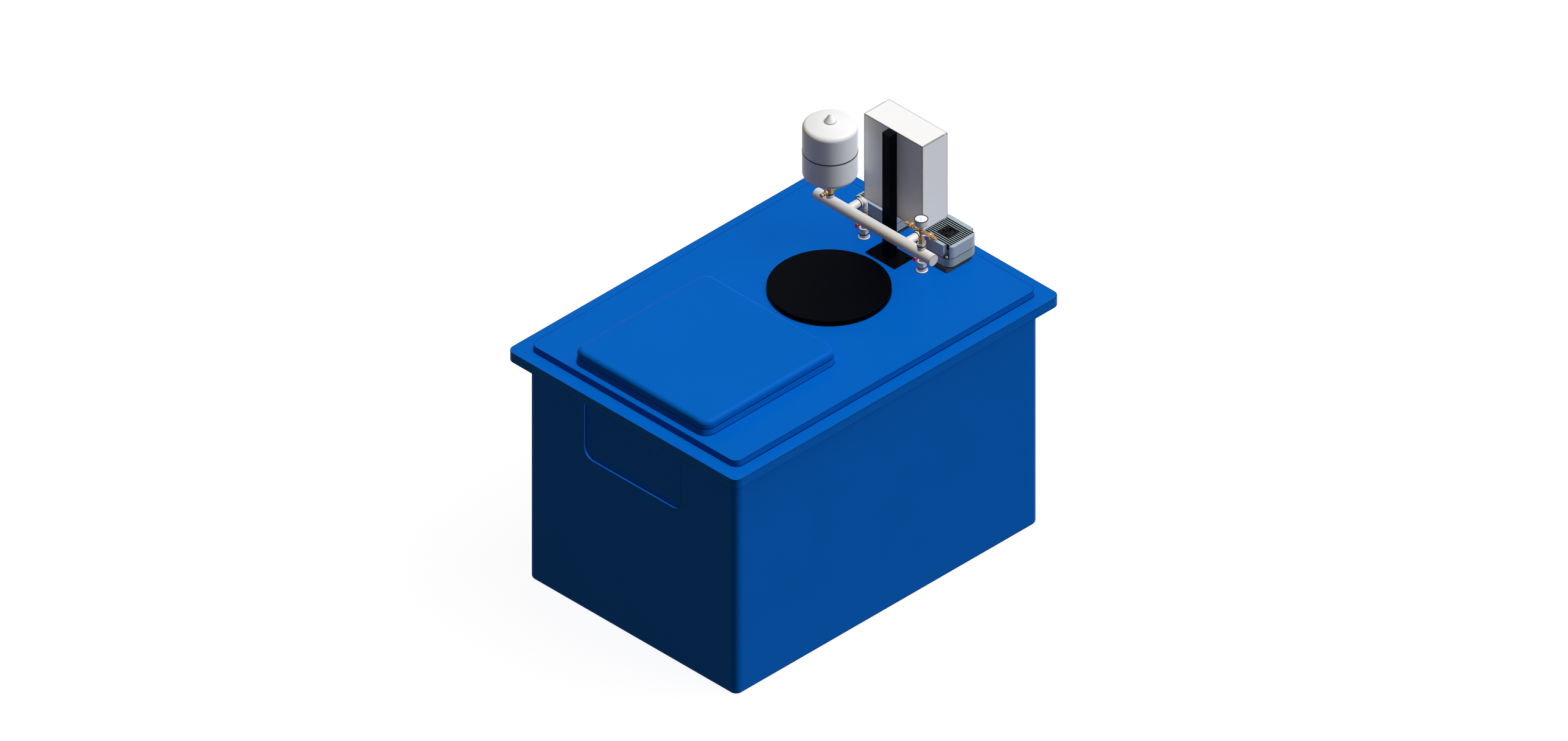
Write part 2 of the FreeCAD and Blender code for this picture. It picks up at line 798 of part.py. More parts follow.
def drive_heatsink(y):
    """Upper casting: finned top, a pocket for the fan and notches for its screws."""
    block = slab(drive_x, y, drive_length, drive_width, drive_corner, split_level, drive_top,
                 drive_corners)
    block = block.common(leaning_block(y))
    turn = math.asin(notch_radius / drive_corner)
    reach = drive_corner * math.cos(turn)
    along = drive_length / 2 - drive_corner + reach * math.cos(turn)
    across = drive_width / 2 - drive_corner + reach * math.sin(turn)
    notches = [(-along, -across, notch_radius), (along, -across, notch_radius),
               (-drive_length / 2, drive_width / 2 - end_notch_inset, end_notch_radius),
               (drive_length / 2 - end_notch_setback, drive_width / 2, end_notch_radius)]
    cutters = []
    for dx, dy, radius in notches:
        spot = V(drive_x + dx, y + dy, split_level)
        cutters.append(rod(2 * radius, -EPS, upper_height + EPS, spot))
    pitch = fin_thickness + fin_gap
    half = drive_width / 2 - fin_end_bar
    first = drive_x - fin_forward - fin_count * pitch / 2
    for index in range(fin_count + 1):
        middle = first + index * pitch
        cutters.append(box(middle - fin_gap / 2, middle + fin_gap / 2, y - half, y + half,
                           drive_top - fin_depth, drive_top + EPS))
    pocket = fan_size + 2 * fan_clearance
    cutters.append(slab(fan_x, y + fan_offset, pocket, pocket, fan_corner, fan_bottom,
                        drive_top + EPS))
    return without(block, *cutters)


def fan_frame(y):
    """Square fan frame with its round duct, four struts, stator and bearing pin."""
    centre = y + fan_offset
    base = V(fan_x, centre, fan_bottom)
    frame = slab(fan_x, centre, fan_size, fan_size, fan_corner, fan_bottom,
                 fan_bottom + fan_height)
    frame = without(frame, rod(fan_bore, -EPS, fan_height + EPS, base))
    struts = []
    reach = fan_bore / 2 + EPS
    for turn in (0, 90):
        strut = box(-reach, reach, -fan_strut / 2, fan_strut / 2, 0, fan_floor)
        strut.Placement = FreeCAD.Placement(base, FreeCAD.Rotation(UP, turn + 45))
        struts.append(strut)
    stator = rod(stator_diameter, 0, fan_floor + 2, base)
    pin = rod(pin_diameter, 0, fan_floor + 2 + pin_height, base)
    return joined(frame, stator, pin, *struts)


def blade(tip_radius):
    """One twisted blade along +X, from inside the hub out past the duct's tip circle."""
    wires = []
    for radius, angle in ((hub_diameter / 2 - 2, blade_root_angle), (tip_radius + 2, blade_tip_angle)):
        turn = math.radians(angle)
        along = V(0, math.cos(turn), math.sin(turn)) * (blade_chord / 2)
        across = V(0, -math.sin(turn), math.cos(turn)) * (blade_thickness / 2)
        middle = V(radius, 0, 0)
        corners = [middle + along + across, middle - along + across,
                   middle - along - across, middle + along - across]
        wires.append(Part.makePolygon(corners + [corners[0]]))
    return Part.makeLoft(wires, True, True)


def fan_rotor(y):
    """Hub with its ring of blades, carried on the bearing pin of the frame."""
    tip_radius = fan_bore / 2 - blade_tip_gap
    low = fan_floor + 2 + rotor_gap
    hub = turned([(hub_diameter / 2, low), (hub_diameter / 2, low + rotor_height - 2),
                  (hub_diameter / 2 - 2, low + rotor_height)], V(0, 0, 0))
    bore = rod(pin_diameter + 2 * pin_clearance, low - EPS, low + pin_height, V(0, 0, 0))
    ring = rod(2 * tip_radius, low, low + rotor_height, V(0, 0, 0))
    blades = []
    for index in range(blade_count):
        wing = blade(tip_radius)
        turn = FreeCAD.Rotation(UP, 360.0 * index / blade_count)
        wing.Placement = FreeCAD.Placement(V(0, 0, low + rotor_height / 2), turn)
        blades.append(wing.common(ring))
    rotor = without(joined(hub, *blades), bore)
    return placed(rotor, V(fan_x, y + fan_offset, fan_bottom), UP)


def nodes():
    """Every piece of the set under its own name."""
    pieces = {
        "tank_body": tank_body(),
        "tank_lid": tank_lid(),
        "hatch_plinth": hatch_plinth(),
        "hatch_cover": hatch_cover(),
        "round_cover": round_cover(),
        "post_base_plate": post_base_plate(),
        "panel_post": panel_post(),
        "panel_enclosure": panel_enclosure(),
        "panel_door": panel_door(),
        "manifold": manifold(),
        "vessel_lower_shell": vessel_lower_shell(),
        "vessel_upper_shell": vessel_upper_shell(),
        "vessel_band": vessel_band(),
        "vessel_cap": vessel_cap(),
        "vessel_valve": vessel_valve(),
        "vessel_drain_cock": drain_cock(),
        "vessel_valve_handle": vessel_handle(),
        "gauge_socket": gauge_socket(),
        "gauge_valve": gauge_valve(),
        "gauge_valve_handle": gauge_handle(),
        "gauge_cross": gauge_cross(),
        "pressure_transducers": transducers(),
        "gauge_case": gauge_case(),
        "gauge_dial": gauge_dial(),
        "riser_flanges": riser_flanges(),
    }
    for number, side in ((1, -1), (2, 1)):
        y = side * riser_y
        pieces["riser_%d_union" % number] = riser_union(y)
        pieces["riser_%d_valve" % number] = ball_valve(y)
        pieces["riser_%d_handle" % number] = riser_handle(y)
        pieces["riser_%d_check_valve" % number] = check_valve(y)
        pieces["riser_%d_elbow" % number] = elbow(y)
        y = drive_shift + side * drive_pitch / 2
        pieces["drive_%d_foot" % number] = drive_foot(y)
        pieces["drive_%d_housing" % number] = drive_housing(y)
        pieces["drive_%d_heatsink" % number] = drive_heatsink(y)
        pieces["drive_%d_fan_frame" % number] = fan_frame(y)
        pieces["drive_%d_fan_rotor" % number] = fan_rotor(y)
    return pieces


os.makedirs("parts", exist_ok=True)
for name, shape in nodes().items():
    shape.exportStep("parts/%s.step" % name)
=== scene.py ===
import json
import math

import bpy
from mathutils import Matrix, Vector

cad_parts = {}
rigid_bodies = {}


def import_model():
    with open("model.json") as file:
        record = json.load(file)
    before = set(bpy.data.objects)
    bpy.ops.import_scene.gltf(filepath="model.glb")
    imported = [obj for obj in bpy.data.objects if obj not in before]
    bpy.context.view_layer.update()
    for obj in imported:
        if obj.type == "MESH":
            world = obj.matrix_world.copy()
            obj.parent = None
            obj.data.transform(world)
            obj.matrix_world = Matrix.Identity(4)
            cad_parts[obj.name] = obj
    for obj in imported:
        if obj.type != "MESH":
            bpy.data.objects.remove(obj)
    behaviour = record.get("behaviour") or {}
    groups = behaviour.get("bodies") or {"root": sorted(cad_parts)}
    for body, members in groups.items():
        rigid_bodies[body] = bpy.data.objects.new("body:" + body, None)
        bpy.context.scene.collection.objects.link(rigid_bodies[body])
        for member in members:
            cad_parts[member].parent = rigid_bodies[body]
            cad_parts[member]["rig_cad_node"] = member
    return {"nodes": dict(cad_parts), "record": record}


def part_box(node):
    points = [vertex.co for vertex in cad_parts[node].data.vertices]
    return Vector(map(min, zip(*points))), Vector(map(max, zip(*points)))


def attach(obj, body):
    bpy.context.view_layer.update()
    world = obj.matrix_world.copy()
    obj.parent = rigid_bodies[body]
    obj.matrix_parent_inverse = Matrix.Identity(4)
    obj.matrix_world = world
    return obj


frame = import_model()

bl_info = {
    "name": "Break tank booster set",
    "version": (1, 0, 0),
    "blender": (4, 5, 0),
    "location": "View3D > Sidebar > Booster set",
    "description": "Finishes and small fittings of a break tank with its booster set",
    "category": "Object",
}

# Everything that does not move is on one body; the handles, covers and fans have their own.
SET_BODY = "tank_set"
DRIVES = (1, 2)
RISERS = (1, 2)

# Lengths are in metres unless a name ends in mm.

# Radius of the discharge header's tube.
HEADER_RADIUS = 0.03015

# Rubber rings: the radius that each sits on, and its thickness as a share of the ring
# section that the user sets.
UNION_RING = (0.0219, 1.4)
ELBOW_RING = (0.0228, 1.0)
FOOT_RING = (0.0188, 0.7)
VALVE_RING = (0.0165, 1.2)
SOCKET_RING = (0.0195, 1.3)
NECK_RING = (0.0175, 1.4)

# The elbow's rings are flat: this share of their thickness along the branch.
ELBOW_SQUASH = 0.7

# Where the rings lie: the union's above the flange, the elbow's from the mouth's end, and
# the vessel valve's from its lower and upper end.
UNION_GROOVE = 0.0154
ELBOW_GROOVES = (("mouth", -0.0010), ("lip", 0.0112))
VALVE_FOOT_GROOVE = 0.0035
VALVE_NECK_GROOVE = 0.0025

# The drive's foot seal fills this band under the top of the foot.
FOOT_SEAL = (0.0073, 0.0004)

# Fan guard: rings as shares of the outer one, turns of the spokes in degrees, and the
# spokes' length as a share of the outer ring.
GUARD_RINGS = (1.0, 0.78, 0.56)
GUARD_TURNS = (45, 135)
SPOKE_LENGTH = 1.16

# Base plate bolts: distance from the plate's edges, washer and head.
PLATE_INSET = 0.020
WASHER_RADIUS = 0.0120
WASHER_HEIGHT = 0.0012
WASHER_EDGE = 0.0005
BOLT_SEAT = 0.0015
BOLT_HEIGHT = 0.0050
BOLT_EDGE = 0.0012

# The drive's screws: distance in X and Y from the housing's nearest corner.
LEFT_SCREW = (0.0105, 0.0273)
RIGHT_SCREW = (0.0143, 0.0322)

# Gauge: how far the bezel lies under the rim and past it, the size of a mark, the radius
# of the scale and its sweep in degrees, and the pointer.
BEZEL_DROP = 0.0008
BEZEL_LAP = 0.0006
MARK_SIZE = (0.0006, 0.0032, 0.0002)
MARK_RADIUS = 0.0265
MARK_LIFT = 0.0001
MARK_STEPS = 18
SCALE_SWEEP = 270
SCALE_START = 180
POINTER_SIZE = (0.0022, 0.012, 0.0003)
POINTER_OFFSET = 0.004
POINTER_LIFT = 0.0006
POINTER_TIP = 0.014
POINTER_TAPER = 0.2
POINTER_TURN = 128
HUB_RADIUS = 0.0026
HUB_HEIGHT = 0.0011
HUB_EDGE = 0.0006

# Drain key: distance from the cock's end, depth in the cock, and its stem and square.
KEY_OFFSET = 0.0265
KEY_DEPTH = 0.0012
KEY_HEIGHT = 0.008
KEY_EDGE = 0.0008
STEM_RADIUS = 0.004
SQUARE_RADIUS = 0.0042
SQUARE_LIFT = 0.0085

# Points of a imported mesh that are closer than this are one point.
WELD = 0.00002

# Added to a level, this is above every piece.
ABOVE_ALL = 1.0

# A face whose unit normal passes this share of an axis looks along that axis.
LOOKS_ALONG = 0.9

# A finish's soft patches: how many there are in a metre, where in their noise the two
# colours lie, and how far the roughness goes up and down.
PATCHES = 3.0
COLOUR_STOPS = (0.3, 0.7)
GLOSS_SPREAD = 0.05

# Height of a finish's fine relief, in millimetres.
RELIEF_MM = 0.2

# Agreement of the rounded and the true normal: at the first, the painted dark line along a
# sharp edge or joint is as dark as it gets, and at the second it is gone. The line keeps this
# share of the colour.
BENT, STRAIGHT = 0.93, 0.99
LINE_KEEPS = 0.05

# Lean of the rounded normal towards a flush neighbour at which the line starts to go, and
# at which it is gone.
FLUSH_LEAN = (0.02, 0.06)

# The camera frames this width of the scene round this point, from this distance.
VIEW_WIDTH = 7.5762
VIEW_AIM = (0.00125, -0.00125, 1.0619)
VIEW_DISTANCE = 14.0
VIEW_DEPTH = 100.0

# The floor's side, its diffuse share and its glow as the camera sees it, and the colour
# that it sends back to the object.
FLOOR_SIZE = 60.0
FLOOR_PALE = (0.5, 0.5, 0.5, 1)
FLOOR_GLOW = 0.53
FLOOR_BOUNCE = (0.06, 0.11, 0.17, 1)

# Lamps: direction towards them, colour, and for each its strength, its angle in degrees
# and whether it casts a shadow.
LAMP_FROM = (0.317, -0.406, 0.857)
LAMP_DISTANCE = 6
LAMP_COLOUR = (0.90, 0.93, 1.0)
LAMPS = (("front", 3.08, 12, False), ("front_soft", 0.45, 40, True))

# Colour of the light that comes from all round.
SKY_COLOUR = (0.15, 0.10, 0.015, 1)
WHITE = (1, 1, 1, 1)


def middle(node):
    """Centre of a node's box."""
    low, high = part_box(node)
    return (Vector(low) + Vector(high)) / 2


# Sizes and colours that a user may change


class SealSizes(bpy.types.PropertyGroup):
    ring_section: bpy.props.FloatProperty(
        name="Ring section", description="Thickness of the rubber rings in unions and elbows",
        default=0.004, min=0.001, max=0.008, unit="LENGTH")
    gasket_height: bpy.props.FloatProperty(
        name="Gasket height", description="Height of the flat seals in housings and covers",
        default=0.0022, min=0.001, max=0.01, unit="LENGTH")
    gasket_proud: bpy.props.FloatProperty(
        name="Gasket proud", description="How far a flat seal stands out of its joint",
        default=0.0006, min=0.0, max=0.003, unit="LENGTH")
    bezel_section: bpy.props.FloatProperty(
        name="Bezel section", description="Thickness of the black bezel round the gauge",
        default=0.0050, min=0.001, max=0.007, unit="LENGTH")


class FastenerSizes(bpy.types.PropertyGroup):
    plate_bolt: bpy.props.FloatProperty(
        name="Plate bolt", description="Width across flats of the base plate bolts",
        default=0.017, min=0.008, max=0.03, unit="LENGTH")
    drive_screw: bpy.props.FloatProperty(
        name="Drive screw",
        description="Head diameter of the socket screws in the drive notches",
        default=0.013, min=0.006, max=0.02, unit="LENGTH")
    guard_wire: bpy.props.FloatProperty(
        name="Guard wire", description="Diameter of the fan guard wire",
        default=0.0018, min=0.0008, max=0.003, unit="LENGTH")
    guard_size: bpy.props.FloatProperty(
        name="Guard size", description="Diameter of the outer ring of the fan guard",
        default=0.070, min=0.04, max=0.078, unit="LENGTH")


class FinishColours(bpy.types.PropertyGroup):
    gelcoat: bpy.props.StringProperty(
        name="Gelcoat", description="Colour of the tank moulding", default="#0061C0")
    panel: bpy.props.StringProperty(
        name="Panel paint", description="Powder coat of the control panel", default="#F9FAFB")
    vessel: bpy.props.StringProperty(
        name="Vessel enamel", description="Enamel of the pressure vessel", default="#F3F4F5")
    casting: bpy.props.StringProperty(
        name="Drive paint", description="Paint of the drive castings", default="#A2ADA8")
    fins: bpy.props.StringProperty(
        name="Fin paint", description="Paint on the tops of the cooling fins",
        default="#A5B4BD")


# Finishes


def linear(code):
    """sRGB hex colour as linear RGBA."""
    out = []
    for start in (1, 3, 5):
        part = int(code[start:start + 2], 16) / 255.0
        out.append(part / 12.92 if part <= 0.04045 else ((part + 0.055) / 1.055) ** 2.4)
    return (out[0], out[1], out[2], 1.0)


def add_node(tree, kind, links=(), **settings):
    """Adds a shader node, sets its properties or sockets, and links its inputs."""
    node = tree.nodes.new(kind)
    for name, value in settings.items():
        if name[0].islower():
            setattr(node, name, value)
        else:
            node.inputs[name.replace("_", " ")].default_value = value
    for socket, source in links:
        tree.links.new(source, node.inputs[socket])
    return node


def new_material(name):
    """Empty node material: gives it, its tree and its output."""
    material = bpy.data.materials.new(name)
    material.use_nodes = True
    material.node_tree.nodes.clear()
    out = material.node_tree.nodes.new("ShaderNodeOutputMaterial")
    return material, material.node_tree, out


def surface(name, colours, grain_mm, roughness, metallic=0.0, bump=0.1, specular=0.5,
            stretch=(1.0, 1.0, 1.0), edge_mm=1.5, painted_shade_colour="#0A0C10", crevice_mm=0.0,
            closed=0.45, clear=0.85, flush=None):
    """Finish with two close colours in soft patches, uneven gloss and fine relief.

    grain_mm is the size of the relief's cells, and stretch scales them along the axes: a
    small share draws them out. A painted dark line of edge_mm darkens sharp edges and
    joints, and painted shade darkens the crevices: full where the open share of the view is
    under closed, none where it is over clear. On the side named by flush, the piece meets
    its neighbour without a line.
    """
    material, tree, out = new_material(name)
    where = add_node(tree, "ShaderNodeTexCoord")
    patches = add_node(tree, "ShaderNodeTexNoise", [("Vector", where.outputs["Object"])],
                       Scale=PATCHES, Detail=3.0, Roughness=0.5)
    tint = add_node(tree, "ShaderNodeValToRGB", [("Fac", patches.outputs["Fac"])])
    for stop, place, colour in zip(tint.color_ramp.elements, COLOUR_STOPS, colours):
        stop.position = place
        stop.color = linear(colour)
    shape = add_node(tree, "ShaderNodeNewGeometry")
    # Painted dark line along sharp edges and joints, where the rounded normal leans away from
    # the true one.
    rounded = add_node(tree, "ShaderNodeBevel", samples=4, Radius=edge_mm / 1000.0)
    agree = add_node(tree, "ShaderNodeVectorMath",
                     [(0, rounded.outputs["Normal"]), (1, shape.outputs["Normal"])],
                     operation="DOT_PRODUCT")
    edge = add_node(tree, "ShaderNodeMapRange", [("Value", agree.outputs["Value"])],
                    From_Min=BENT, From_Max=STRAIGHT, To_Min=LINE_KEEPS)
    unshaded = edge.outputs["Result"]
    if flush:
        lean = add_node(tree, "ShaderNodeVectorMath", [(0, rounded.outputs["Normal"])],
                        operation="DOT_PRODUCT")
        lean.inputs[1].default_value = flush
        towards = add_node(tree, "ShaderNodeMapRange", [("Value", lean.outputs["Value"])],
                           From_Min=FLUSH_LEAN[0], From_Max=FLUSH_LEAN[1])
        unshaded = add_node(tree, "ShaderNodeMath", [(0, unshaded), (1, towards.outputs["Result"])],
                         operation="MAXIMUM").outputs["Value"]
    # Painted shade in the crevices, darker where less of the view around is open.
    if crevice_mm:
        depth = add_node(tree, "ShaderNodeAmbientOcclusion", samples=5,
                         Distance=crevice_mm / 1000.0)
        open_air = add_node(tree, "ShaderNodeMapRange", [("Value", depth.outputs["AO"])],
                            From_Min=closed, From_Max=clear)
        unshaded = add_node(tree, "ShaderNodeMath",
                         [(0, unshaded), (1, open_air.outputs["Result"])],
                         operation="MULTIPLY").outputs["Value"]
    # Mixes the painted shade colour in where the painted line or painted shade lies.
    shade = add_node(tree, "ShaderNodeMixRGB",
                     [("Fac", unshaded), ("Color2", tint.outputs["Color"])],
                     Color1=linear(painted_shade_colour))
    drawn = add_node(tree, "ShaderNodeMapping", [("Vector", where.outputs["Object"])],
                     Scale=stretch)
    grain = add_node(tree, "ShaderNodeTexNoise", [("Vector", drawn.outputs["Vector"])],
                     Scale=1000.0 / grain_mm, Detail=2.0, Roughness=0.6)
    relief = add_node(tree, "ShaderNodeBump", [("Height", grain.outputs["Fac"])],
                      Strength=bump, Distance=RELIEF_MM / 1000.0)
    gloss = add_node(tree, "ShaderNodeMapRange", [("Value", patches.outputs["Fac"])],
                     To_Min=roughness - GLOSS_SPREAD, To_Max=roughness + GLOSS_SPREAD)
    shader = add_node(tree, "ShaderNodeBsdfPrincipled",
                      [("Base Color", shade.outputs["Color"]),
                       ("Roughness", gloss.outputs["Result"]),
                       ("Normal", relief.outputs["Normal"])],
                      Metallic=metallic, Specular_IOR_Level=specular)
    tree.links.new(shader.outputs["BSDF"], out.inputs["Surface"])
    return material


def set_finishes(look):
    """The finishes of the CAD nodes, by the record's material slot, each with a painted dark
    line along its sharp edges.
    """
    return {
        # Pigmented gelcoat on glass-reinforced plastic: one even colour, faint orange peel; a
        # wide painted dark line along its edges and joints, and painted shade in its crevices.
        "blue_grp": surface("gelcoat_blue", (look.gelcoat, "#0060BD"), 6.0, 0.45,
                            bump=0.05, specular=0.03, edge_mm=8.5, painted_shade_colour="#031226",
                            crevice_mm=9.0),
        # Moulded polyethylene: near black with a dull sheen.
        "black_plastic": surface("polyethylene_black", ("#010205", "#020307"), 3.0, 0.6,
                                 bump=0.12, specular=0.02),
        # Powder coat on steel: near black, fine pebbles.
        "black_paint": surface("powder_coat_black", ("#010204", "#020306"), 2.0, 0.55,
                               bump=0.15, specular=0.03),
        # Fine-textured powder coat on sheet steel, light grey, with a wide painted dark line
        # along its sharp edges.
        "panel_paint": surface("powder_coat_grey", (look.panel, "#F6F7F8"), 2.0, 0.5,
                               bump=0.12, specular=0.1, edge_mm=9.0, flush=(1, 0, 0)),
        # Stove enamel on a deep-drawn vessel: smooth, slightly glossy, with painted shade in its
        # crevices and a painted dark line along its edges.
        "vessel_paint": surface("stove_enamel_grey", (look.vessel, "#EDF0F1"), 8.0, 0.38,
                                bump=0.03, specular=0.15, edge_mm=5.0, crevice_mm=16.0),
        # Pickled stainless tube: satin, with lines drawn along the tube (Y), painted shade in
        # its crevices and a painted dark line along its edges.
        "steel": surface("stainless_satin", ("#E4E2DD", "#E9E7E2"), 1.5, 0.42, metallic=0.08,
                         bump=0.12, specular=0.12, stretch=(1.0, 0.03, 1.0), edge_mm=4.0,
                         crevice_mm=8.0, closed=0.35, clear=0.75),
        # Sealing band of the vessel's joint.
        "dark_seam": surface("joint_band_dark", ("#101012", "#161618"), 1.0, 0.5,
                             specular=0.2),
        # Cast and turned brass: warm, satin, with bright turned shoulders, and painted shade in
        # dark brown in its crevices and along its edges.
        "brass": surface("brass_satin", ("#D2A46C", "#DFB57C"), 1.0, 0.34, metallic=0.35,
                         bump=0.15, edge_mm=2.6, painted_shade_colour="#140D06", crevice_mm=6.0,
                         closed=0.5, clear=0.85),
        # Moulded acetal, off-white, with painted shade in its crevices and a painted dark line
        # along its edges.
        "white_plastic": surface("acetal_white", ("#DDDAD4", "#E4E1DC"), 2.0, 0.4, bump=0.05,
                                 specular=0.3, edge_mm=2.6, crevice_mm=6.0,
                                 closed=0.4, clear=0.75),
        # Printed dial card.
        "dial_white": surface("dial_card_white", ("#F8F8F8", "#FBFBFB"), 2.0, 0.5,
                              bump=0.02, edge_mm=0.6),
        # Satin steel gauge case.
        "gauge_steel": surface("gauge_case_satin", ("#CDD2D5", "#D4D8DB"), 1.0, 0.4,
                               metallic=0.2, bump=0.08, edge_mm=3.0),
        # Dipped nylon grips.
        "handle_red": surface("nylon_red", ("#DC2A24", "#E4342C"), 1.0, 0.4, bump=0.1),
        "handle_green": surface("nylon_green", ("#08902A", "#0A9A30"), 1.0, 0.4, bump=0.1),
        "handle_blue": surface("nylon_blue", ("#0F0FD0", "#1313D8"), 1.0, 0.4, bump=0.1),
        # Painted aluminium die casting: blue-grey, finely pebbled, with painted shade in its
        # crevices and a painted dark line along its edges.
        "drive_casting": surface("casting_paint", (look.casting, "#A6B1AC"), 1.5, 0.42,
                                 bump=0.1, specular=0.15, edge_mm=5.0, crevice_mm=8.0,
                                 closed=0.4, clear=0.75),
        # Dark painted die casting of the foot.
        "drive_base": surface("die_casting_dark", ("#36393B", "#3D4042"), 1.5, 0.45,
                              metallic=0.2, bump=0.15, specular=0.2, edge_mm=4.0),
        # Glass-filled nylon of the fans.
        "fan_black": surface("nylon_black", ("#030304", "#060607"), 1.0, 0.5, specular=0.1),
    }


def fitting_finishes(look):
    """Finishes that no slot of the record has: the fins, and the pieces modelled here, each with
    a painted dark line along its sharp edges.
    """
    # The castings' paint on the fins, with painted shade that turns the deep gaps between them
    # black.
    surface("fin_paint", (look.fins, "#A9B8C0"), 1.5, 0.42, bump=0.1, specular=0.15,
            edge_mm=2.6, crevice_mm=26.0, closed=0.50, clear=0.90)
    # The panel's powder coat on its door, which closes flush on the enclosure, with a painted
    # dark line along its sharp edges.
    surface("powder_coat_door", (look.panel, "#F6F7F8"), 2.0, 0.5, bump=0.12, specular=0.1,
            edge_mm=9.0, flush=(-1, 0, 0))
    # Nitrile rubber: black and dull.
    surface("nitrile_black", ("#060607", "#0A0A0B"), 1.0, 0.7, specular=0.15)
    # Blackened guard wire: dark, with small bright glints.
    surface("guard_wire_black", ("#101113", "#18191B"), 0.5, 0.22, metallic=0.6,
            edge_mm=0.1)
    # Black nickel bezel.
    surface("bezel_black", ("#08090A", "#0E0F10"), 0.8, 0.35, specular=0.3)
    # Bright zinc screws, with painted shade in their crevices.
    surface("zinc_bright", ("#C9CDD2", "#D4D8DC"), 0.6, 0.3, metallic=0.5, edge_mm=0.9,
            crevice_mm=3.0)
    # Printing ink of the dial.
    surface("dial_ink_grey", ("#A2A4A8", "#AAACB0"), 1.0, 0.6, bump=0.02, edge_mm=0.05)


# Modelling helpers


def start_clean():
    """Leaves edit mode and deselects everything."""
    if bpy.context.object and bpy.context.object.mode != "OBJECT":
        bpy.ops.object.mode_set(mode="OBJECT")
    bpy.ops.object.select_all(action="DESELECT")


def activate(piece):
    """Makes a piece the only selected one."""
    start_clean()
    piece.select_set(True)
    bpy.context.view_layer.objects.active = piece


def settle(name):
    """Bakes the active piece's place into its mesh and names it."""
    piece = bpy.context.object
    bpy.ops.object.transform_apply(location=True, rotation=True, scale=True)
    piece.name = name
    piece.data.name = name
    return piece


def joined(parts, name):
    """One piece from several, which are then gone."""
    activate(parts[0])
    for part in parts:
        part.select_set(True)
    bpy.ops.object.join()
    return settle(name)


def copied(piece, name, shift):
    """Copy with its own mesh, moved by shift."""
    twin = piece.copy()
    twin.data = piece.data.copy()
    twin.data.transform(Matrix.Translation(shift))
    twin.name = name
    twin.data.name = name
    bpy.context.collection.objects.link(twin)
    return twin


def pick(piece, test):
    """Selects only the faces whose centre and normal pass the test, from object mode."""
    for item in list(piece.data.vertices) + list(piece.data.edges):
        item.select = False
    for face in piece.data.polygons:
        face.select = test(face.center, face.normal)


def give(piece, finish, body=SET_BODY):
    """Finish and body of a new piece."""
    piece.data.materials.clear()
    piece.data.materials.append(bpy.data.materials[finish])
    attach(piece, body)
    return piece


def ring(name, centre, radius, section, axis="Z", squash=1.0):
    """Round ring, scaled along its own axis by squash."""
    start_clean()
    turn = {"X": (0, math.pi / 2, 0), "Z": (0, 0, 0)}[axis]
    bpy.ops.mesh.primitive_torus_add(location=centre, rotation=turn, major_radius=radius,
                                     minor_radius=section / 2, major_segments=64,
                                     minor_segments=12)
    piece = settle(name)
    flat = {"X": (squash, 1, 1), "Z": (1, 1, squash)}[axis]
    bpy.ops.object.mode_set(mode="EDIT")
    bpy.ops.mesh.select_all(action="SELECT")
    bpy.ops.transform.resize(value=flat, center_override=centre)
    bpy.ops.object.mode_set(mode="OBJECT")
    bpy.ops.object.shade_smooth()
    return piece


def rubber_ring(name, centre, form, section, axis="Z", squash=1.0):
    """Rubber ring of one of the forms named at the top."""
    radius, share = form
    give(ring(name, centre, radius, section * share, axis, squash), "nitrile_black")


def turned_knob(name, spot, radius, height, edge, sides=32):
    """Short upright bar with a chamfered top edge, standing on its spot."""
    start_clean()
    bpy.ops.mesh.primitive_cylinder_add(vertices=sides, radius=radius, depth=height,
                                        location=(spot[0], spot[1], spot[2] + height / 2))
    piece = settle(name)
    pick(piece, lambda centre, normal: normal.z > LOOKS_ALONG)
    bpy.ops.object.mode_set(mode="EDIT")
    rise = edge * 0.6
    bpy.ops.mesh.inset(thickness=edge)
    bpy.ops.transform.translate(value=(0, 0, rise))
    bpy.ops.object.mode_set(mode="OBJECT")
    bpy.ops.object.shade_smooth_by_angle(angle=math.radians(25))
    return piece


def socket_screw(name, spot, head):
    """Socket screw's round head, as wide as head, with a broken edge and a recess."""
    start_clean()
    height = head * 0.62
    edge = head * 0.05
    crown = head * 0.04
    wall = head * 0.18
    recess = head * 0.35
    bpy.ops.mesh.primitive_cylinder_add(vertices=36, radius=head / 2, depth=height,
                                        location=(spot[0], spot[1], spot[2] + height / 2))
    piece = settle(name)
    pick(piece, lambda centre, normal: normal.z > LOOKS_ALONG)
    bpy.ops.object.mode_set(mode="EDIT")
    bpy.ops.mesh.inset(thickness=edge)
    bpy.ops.transform.translate(value=(0, 0, crown))
    bpy.ops.mesh.inset(thickness=wall)
    bpy.ops.mesh.extrude_region_move(TRANSFORM_OT_translate={"value": (0, 0, -recess)})
    bpy.ops.object.mode_set(mode="OBJECT")
    bpy.ops.object.shade_smooth_by_angle(angle=math.radians(30))
    return piece


def belt(name, node, low, high, proud):
    """Thin seal: a slice of a copy of a node between two heights, grown by proud."""
    axis = (0.0, 0.0, 1.0)
    source = frame["nodes"][node]
    piece = source.copy()
    piece.data = source.data.copy()
    piece.parent = None
    if "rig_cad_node" in piece:
        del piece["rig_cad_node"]
    bpy.context.collection.objects.link(piece)
    activate(piece)
    bpy.ops.object.mode_set(mode="EDIT")
    bpy.ops.mesh.select_all(action="SELECT")
    bpy.ops.mesh.remove_doubles(threshold=WELD)
    for level, inner in ((low, True), (high, False)):
        bpy.ops.mesh.select_all(action="SELECT")
        bpy.ops.mesh.bisect(plane_co=Vector(axis) * level, plane_no=axis, use_fill=True,
                            clear_inner=inner, clear_outer=not inner)
    bpy.ops.mesh.select_all(action="SELECT")
    bpy.ops.mesh.normals_make_consistent(inside=False)
    bpy.ops.transform.shrink_fatten(value=proud)
    bpy.ops.object.mode_set(mode="OBJECT")
    return settle(name)


# Pieces


